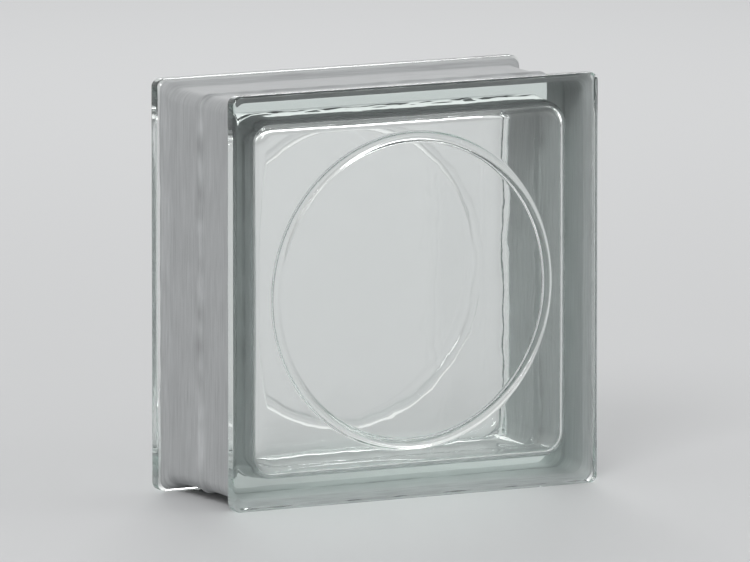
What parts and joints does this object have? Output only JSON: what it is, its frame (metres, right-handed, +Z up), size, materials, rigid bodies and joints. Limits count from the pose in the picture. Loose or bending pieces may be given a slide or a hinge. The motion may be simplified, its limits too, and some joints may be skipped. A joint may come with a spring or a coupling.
{
  "type": "hollow glass block",
  "caption": "Square hollow glass building block: two fused pressed half shells with a ring on the inner side of each face and a coated mortar recess round the edge.",
  "frame": {"origin": "under the middle of the block, on the level of the two lips that it stands on", "axes": "+Z up, +Y from the front face to the back face, +X along the width, to the right seen from the front"},
  "size_m": [0.19, 0.08, 0.19],
  "materials": {
    "clear_glass": "fire-polished clear pressed glass with a faint grey-green tint and slight waves",
    "edge_coat": "matt light grey coat, brushed on"
  },
  "bodies": {
    "root": {"front_half_shell": "clear_glass", "back_half_shell": "clear_glass", "edge_coating": "edge_coat"}
  },
  "joints": []
}
